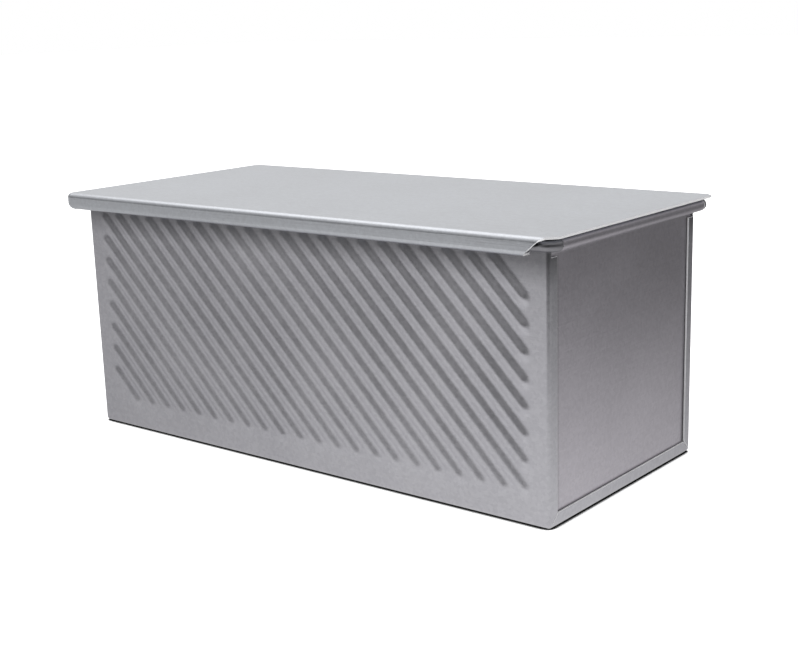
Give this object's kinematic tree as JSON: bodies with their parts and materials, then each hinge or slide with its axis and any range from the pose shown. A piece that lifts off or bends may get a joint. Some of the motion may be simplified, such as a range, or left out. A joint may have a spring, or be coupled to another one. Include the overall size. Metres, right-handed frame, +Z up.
{
  "type": "pullman loaf pan",
  "caption": "Rectangular sheet-metal sandwich loaf pan with diagonal ribs on its long walls, wired rolled rim, seamed ends and a flat lid that slides along the rim.",
  "frame": {"origin": "centre of the underside of the pan's base", "axes": "+X along the pan towards the open end of the lid, +Y across it, +Z up from the base"},
  "size_m": [0.2482, 0.1192, 0.1031],
  "materials": {
    "wrapper_sheet": "aluminised steel, satin, ribbed on both long walls",
    "end_sheet": "aluminised steel, satin, smooth",
    "wire": "drawn steel wire, dull",
    "lid_sheet": "aluminised steel, satin, light grey"
  },
  "bodies": {
    "pan": {"pan_wrapper": "wrapper_sheet", "end_panel_left": "end_sheet", "end_panel_right": "end_sheet", "rim_wire": "wire"},
    "lid": {"lid": "lid_sheet"}
  },
  "joints": [
    {"name": "lid_slide", "type": "slide", "parent": "pan", "child": "lid", "axis": [-1, 0, 0], "range_m": [0, 0.25]}
  ]
}
